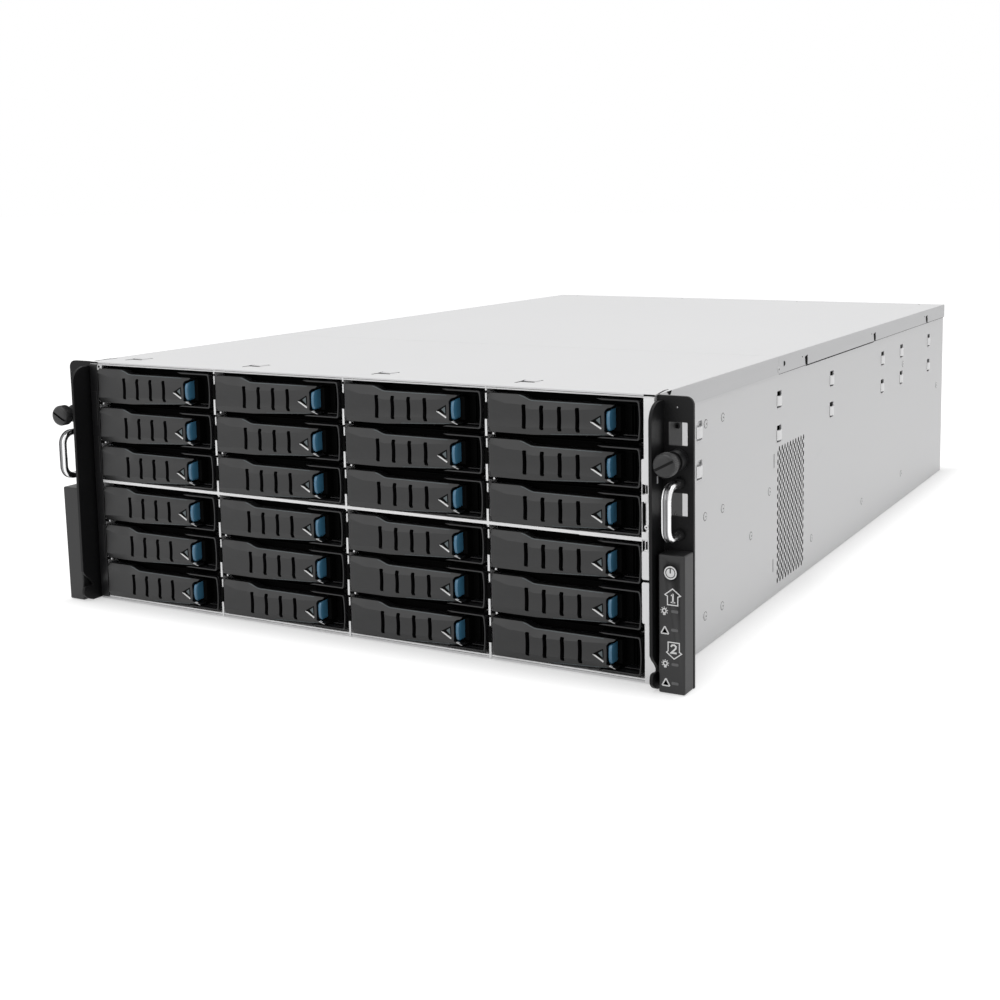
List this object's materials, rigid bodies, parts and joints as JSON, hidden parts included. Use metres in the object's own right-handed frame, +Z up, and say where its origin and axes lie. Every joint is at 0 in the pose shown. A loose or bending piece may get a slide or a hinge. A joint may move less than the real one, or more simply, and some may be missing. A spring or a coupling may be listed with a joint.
{
  "type": "storage server chassis",
  "caption": "Rack-mount storage server chassis with sliding drive carriers, swing levers, rack ears with handles and thumbscrews, control module and lift-off cover.",
  "frame": {"origin": "middle of the underside of the chassis floor", "axes": "+X to the right seen from the front, +Y from the front to the back, +Z up"},
  "size_m": [0.4826, 0.7344, 0.171],
  "materials": {
    "steel": "satin light grey zinc-coated sheet",
    "zinc": "bright zinc-coated sheet",
    "tray_black": "black semi-gloss moulded plastic",
    "ear_black": "black powder coat",
    "bright": "polished metal",
    "screw_black": "blackened knurled metal",
    "module_grey": "dark grey satin plastic",
    "button_white": "white satin plastic"
  },
  "bodies": {
    "chassis": {"chassis_base": "steel", "drive_cage": "zinc", "left_ear": "ear_black", "right_ear": "ear_black", "left_handle": "bright", "right_handle": "bright", "control_module": "module_grey", "left_module": "module_grey"},
    "cover": {"top_cover": "steel"},
    "left_screw": {"left_thumbscrew": "screw_black"},
    "right_screw": {"right_thumbscrew": "screw_black"},
    "power": {"power_button": "button_white"},
    "tray_c1r6": {"tray_c1r6": "tray_black"},
    "lever_c1r6": {"lever_c1r6": "tray_black"},
    "tray_c1r5": {"tray_c1r5": "tray_black"},
    "lever_c1r5": {"lever_c1r5": "tray_black"},
    "tray_c1r4": {"tray_c1r4": "tray_black"},
    "lever_c1r4": {"lever_c1r4": "tray_black"},
    "tray_c1r3": {"tray_c1r3": "tray_black"},
    "lever_c1r3": {"lever_c1r3": "tray_black"},
    "tray_c1r2": {"tray_c1r2": "tray_black"},
    "lever_c1r2": {"lever_c1r2": "tray_black"},
    "tray_c1r1": {"tray_c1r1": "tray_black"},
    "lever_c1r1": {"lever_c1r1": "tray_black"},
    "tray_c2r6": {"tray_c2r6": "tray_black"},
    "lever_c2r6": {"lever_c2r6": "tray_black"},
    "tray_c2r5": {"tray_c2r5": "tray_black"},
    "lever_c2r5": {"lever_c2r5": "tray_black"},
    "tray_c2r4": {"tray_c2r4": "tray_black"},
    "lever_c2r4": {"lever_c2r4": "tray_black"},
    "tray_c2r3": {"tray_c2r3": "tray_black"},
    "lever_c2r3": {"lever_c2r3": "tray_black"},
    "tray_c2r2": {"tray_c2r2": "tray_black"},
    "lever_c2r2": {"lever_c2r2": "tray_black"},
    "tray_c2r1": {"tray_c2r1": "tray_black"},
    "lever_c2r1": {"lever_c2r1": "tray_black"},
    "tray_c3r6": {"tray_c3r6": "tray_black"},
    "lever_c3r6": {"lever_c3r6": "tray_black"},
    "tray_c3r5": {"tray_c3r5": "tray_black"},
    "lever_c3r5": {"lever_c3r5": "tray_black"},
    "tray_c3r4": {"tray_c3r4": "tray_black"},
    "lever_c3r4": {"lever_c3r4": "tray_black"},
    "tray_c3r3": {"tray_c3r3": "tray_black"},
    "lever_c3r3": {"lever_c3r3": "tray_black"},
    "tray_c3r2": {"tray_c3r2": "tray_black"},
    "lever_c3r2": {"lever_c3r2": "tray_black"},
    "tray_c3r1": {"tray_c3r1": "tray_black"},
    "lever_c3r1": {"lever_c3r1": "tray_black"},
    "tray_c4r6": {"tray_c4r6": "tray_black"},
    "lever_c4r6": {"lever_c4r6": "tray_black"},
    "tray_c4r5": {"tray_c4r5": "tray_black"},
    "lever_c4r5": {"lever_c4r5": "tray_black"},
    "tray_c4r4": {"tray_c4r4": "tray_black"},
    "lever_c4r4": {"lever_c4r4": "tray_black"},
    "tray_c4r3": {"tray_c4r3": "tray_black"},
    "lever_c4r3": {"lever_c4r3": "tray_black"},
    "tray_c4r2": {"tray_c4r2": "tray_black"},
    "lever_c4r2": {"lever_c4r2": "tray_black"},
    "tray_c4r1": {"tray_c4r1": "tray_black"},
    "lever_c4r1": {"lever_c4r1": "tray_black"}
  },
  "joints": [
    {"name": "cover_lift", "type": "slide", "parent": "chassis", "child": "cover", "axis": [0, 0, 1], "range_m": [0, 0.06]},
    {"name": "left_screw_turn", "type": "hinge", "parent": "chassis", "child": "left_screw", "pos_m": [-0.2317, -0.3575, 0.1339], "axis": [0, 1, 0], "continuous": true},
    {"name": "right_screw_turn", "type": "hinge", "parent": "chassis", "child": "right_screw", "pos_m": [0.2317, -0.3575, 0.1339], "axis": [0, 1, 0], "continuous": true},
    {"name": "power_press", "type": "slide", "parent": "chassis", "child": "power", "axis": [0, 1, 0], "range_m": [0, 0.0015], "stiffness_N_per_m": 300},
    {"name": "tray_c1r6_slide", "type": "slide", "parent": "chassis", "child": "tray_c1r6", "axis": [0, -1, 0], "range_m": [0, 0.25]},
    {"name": "lever_c1r6_swing", "type": "hinge", "parent": "tray_c1r6", "child": "lever_c1r6", "pos_m": [-0.20365, -0.35415, 0.0025], "axis": [0, 0, -1], "range_deg": [0, 75]},
    {"name": "tray_c1r5_slide", "type": "slide", "parent": "chassis", "child": "tray_c1r5", "axis": [0, -1, 0], "range_m": [0, 0.25]},
    {"name": "lever_c1r5_swing", "type": "hinge", "parent": "tray_c1r5", "child": "lever_c1r5", "pos_m": [-0.20365, -0.35415, 0.03025], "axis": [0, 0, -1], "range_deg": [0, 75]},
    {"name": "tray_c1r4_slide", "type": "slide", "parent": "chassis", "child": "tray_c1r4", "axis": [0, -1, 0], "range_m": [0, 0.25]},
    {"name": "lever_c1r4_swing", "type": "hinge", "parent": "tray_c1r4", "child": "lever_c1r4", "pos_m": [-0.20365, -0.35415, 0.058], "axis": [0, 0, -1], "range_deg": [0, 75]},
    {"name": "tray_c1r3_slide", "type": "slide", "parent": "chassis", "child": "tray_c1r3", "axis": [0, -1, 0], "range_m": [0, 0.25]},
    {"name": "lever_c1r3_swing", "type": "hinge", "parent": "tray_c1r3", "child": "lever_c1r3", "pos_m": [-0.20365, -0.35415, 0.08675], "axis": [0, 0, -1], "range_deg": [0, 75]},
    {"name": "tray_c1r2_slide", "type": "slide", "parent": "chassis", "child": "tray_c1r2", "axis": [0, -1, 0], "range_m": [0, 0.25]},
    {"name": "lever_c1r2_swing", "type": "hinge", "parent": "tray_c1r2", "child": "lever_c1r2", "pos_m": [-0.20365, -0.35415, 0.1145], "axis": [0, 0, -1], "range_deg": [0, 75]},
    {"name": "tray_c1r1_slide", "type": "slide", "parent": "chassis", "child": "tray_c1r1", "axis": [0, -1, 0], "range_m": [0, 0.25]},
    {"name": "lever_c1r1_swing", "type": "hinge", "parent": "tray_c1r1", "child": "lever_c1r1", "pos_m": [-0.20365, -0.35415, 0.14225], "axis": [0, 0, -1], "range_deg": [0, 75]},
    {"name": "tray_c2r6_slide", "type": "slide", "parent": "chassis", "child": "tray_c2r6", "axis": [0, -1, 0], "range_m": [0, 0.25]},
    {"name": "lever_c2r6_swing", "type": "hinge", "parent": "tray_c2r6", "child": "lever_c2r6", "pos_m": [-0.09745, -0.35415, 0.0025], "axis": [0, 0, -1], "range_deg": [0, 75]},
    {"name": "tray_c2r5_slide", "type": "slide", "parent": "chassis", "child": "tray_c2r5", "axis": [0, -1, 0], "range_m": [0, 0.25]},
    {"name": "lever_c2r5_swing", "type": "hinge", "parent": "tray_c2r5", "child": "lever_c2r5", "pos_m": [-0.09745, -0.35415, 0.03025], "axis": [0, 0, -1], "range_deg": [0, 75]},
    {"name": "tray_c2r4_slide", "type": "slide", "parent": "chassis", "child": "tray_c2r4", "axis": [0, -1, 0], "range_m": [0, 0.25]},
    {"name": "lever_c2r4_swing", "type": "hinge", "parent": "tray_c2r4", "child": "lever_c2r4", "pos_m": [-0.09745, -0.35415, 0.058], "axis": [0, 0, -1], "range_deg": [0, 75]},
    {"name": "tray_c2r3_slide", "type": "slide", "parent": "chassis", "child": "tray_c2r3", "axis": [0, -1, 0], "range_m": [0, 0.25]},
    {"name": "lever_c2r3_swing", "type": "hinge", "parent": "tray_c2r3", "child": "lever_c2r3", "pos_m": [-0.09745, -0.35415, 0.08675], "axis": [0, 0, -1], "range_deg": [0, 75]},
    {"name": "tray_c2r2_slide", "type": "slide", "parent": "chassis", "child": "tray_c2r2", "axis": [0, -1, 0], "range_m": [0, 0.25]},
    {"name": "lever_c2r2_swing", "type": "hinge", "parent": "tray_c2r2", "child": "lever_c2r2", "pos_m": [-0.09745, -0.35415, 0.1145], "axis": [0, 0, -1], "range_deg": [0, 75]},
    {"name": "tray_c2r1_slide", "type": "slide", "parent": "chassis", "child": "tray_c2r1", "axis": [0, -1, 0], "range_m": [0, 0.25]},
    {"name": "lever_c2r1_swing", "type": "hinge", "parent": "tray_c2r1", "child": "lever_c2r1", "pos_m": [-0.09745, -0.35415, 0.14225], "axis": [0, 0, -1], "range_deg": [0, 75]},
    {"name": "tray_c3r6_slide", "type": "slide", "parent": "chassis", "child": "tray_c3r6", "axis": [0, -1, 0], "range_m": [0, 0.25]},
    {"name": "lever_c3r6_swing", "type": "hinge", "parent": "tray_c3r6", "child": "lever_c3r6", "pos_m": [0.00875, -0.35415, 0.0025], "axis": [0, 0, -1], "range_deg": [0, 75]},
    {"name": "tray_c3r5_slide", "type": "slide", "parent": "chassis", "child": "tray_c3r5", "axis": [0, -1, 0], "range_m": [0, 0.25]},
    {"name": "lever_c3r5_swing", "type": "hinge", "parent": "tray_c3r5", "child": "lever_c3r5", "pos_m": [0.00875, -0.35415, 0.03025], "axis": [0, 0, -1], "range_deg": [0, 75]},
    {"name": "tray_c3r4_slide", "type": "slide", "parent": "chassis", "child": "tray_c3r4", "axis": [0, -1, 0], "range_m": [0, 0.25]},
    {"name": "lever_c3r4_swing", "type": "hinge", "parent": "tray_c3r4", "child": "lever_c3r4", "pos_m": [0.00875, -0.35415, 0.058], "axis": [0, 0, -1], "range_deg": [0, 75]},
    {"name": "tray_c3r3_slide", "type": "slide", "parent": "chassis", "child": "tray_c3r3", "axis": [0, -1, 0], "range_m": [0, 0.25]},
    {"name": "lever_c3r3_swing", "type": "hinge", "parent": "tray_c3r3", "child": "lever_c3r3", "pos_m": [0.00875, -0.35415, 0.08675], "axis": [0, 0, -1], "range_deg": [0, 75]},
    {"name": "tray_c3r2_slide", "type": "slide", "parent": "chassis", "child": "tray_c3r2", "axis": [0, -1, 0], "range_m": [0, 0.25]},
    {"name": "lever_c3r2_swing", "type": "hinge", "parent": "tray_c3r2", "child": "lever_c3r2", "pos_m": [0.00875, -0.35415, 0.1145], "axis": [0, 0, -1], "range_deg": [0, 75]},
    {"name": "tray_c3r1_slide", "type": "slide", "parent": "chassis", "child": "tray_c3r1", "axis": [0, -1, 0], "range_m": [0, 0.25]},
    {"name": "lever_c3r1_swing", "type": "hinge", "parent": "tray_c3r1", "child": "lever_c3r1", "pos_m": [0.00875, -0.35415, 0.14225], "axis": [0, 0, -1], "range_deg": [0, 75]},
    {"name": "tray_c4r6_slide", "type": "slide", "parent": "chassis", "child": "tray_c4r6", "axis": [0, -1, 0], "range_m": [0, 0.25]},
    {"name": "lever_c4r6_swing", "type": "hinge", "parent": "tray_c4r6", "child": "lever_c4r6", "pos_m": [0.11495, -0.35415, 0.0025], "axis": [0, 0, -1], "range_deg": [0, 75]},
    {"name": "tray_c4r5_slide", "type": "slide", "parent": "chassis", "child": "tray_c4r5", "axis": [0, -1, 0], "range_m": [0, 0.25]},
    {"name": "lever_c4r5_swing", "type": "hinge", "parent": "tray_c4r5", "child": "lever_c4r5", "pos_m": [0.11495, -0.35415, 0.03025], "axis": [0, 0, -1], "range_deg": [0, 75]},
    {"name": "tray_c4r4_slide", "type": "slide", "parent": "chassis", "child": "tray_c4r4", "axis": [0, -1, 0], "range_m": [0, 0.25]},
    {"name": "lever_c4r4_swing", "type": "hinge", "parent": "tray_c4r4", "child": "lever_c4r4", "pos_m": [0.11495, -0.35415, 0.058], "axis": [0, 0, -1], "range_deg": [0, 75]},
    {"name": "tray_c4r3_slide", "type": "slide", "parent": "chassis", "child": "tray_c4r3", "axis": [0, -1, 0], "range_m": [0, 0.25]},
    {"name": "lever_c4r3_swing", "type": "hinge", "parent": "tray_c4r3", "child": "lever_c4r3", "pos_m": [0.11495, -0.35415, 0.08675], "axis": [0, 0, -1], "range_deg": [0, 75]},
    {"name": "tray_c4r2_slide", "type": "slide", "parent": "chassis", "child": "tray_c4r2", "axis": [0, -1, 0], "range_m": [0, 0.25]},
    {"name": "lever_c4r2_swing", "type": "hinge", "parent": "tray_c4r2", "child": "lever_c4r2", "pos_m": [0.11495, -0.35415, 0.1145], "axis": [0, 0, -1], "range_deg": [0, 75]},
    {"name": "tray_c4r1_slide", "type": "slide", "parent": "chassis", "child": "tray_c4r1", "axis": [0, -1, 0], "range_m": [0, 0.25]},
    {"name": "lever_c4r1_swing", "type": "hinge", "parent": "tray_c4r1", "child": "lever_c4r1", "pos_m": [0.11495, -0.35415, 0.14225], "axis": [0, 0, -1], "range_deg": [0, 75]}
  ]
}
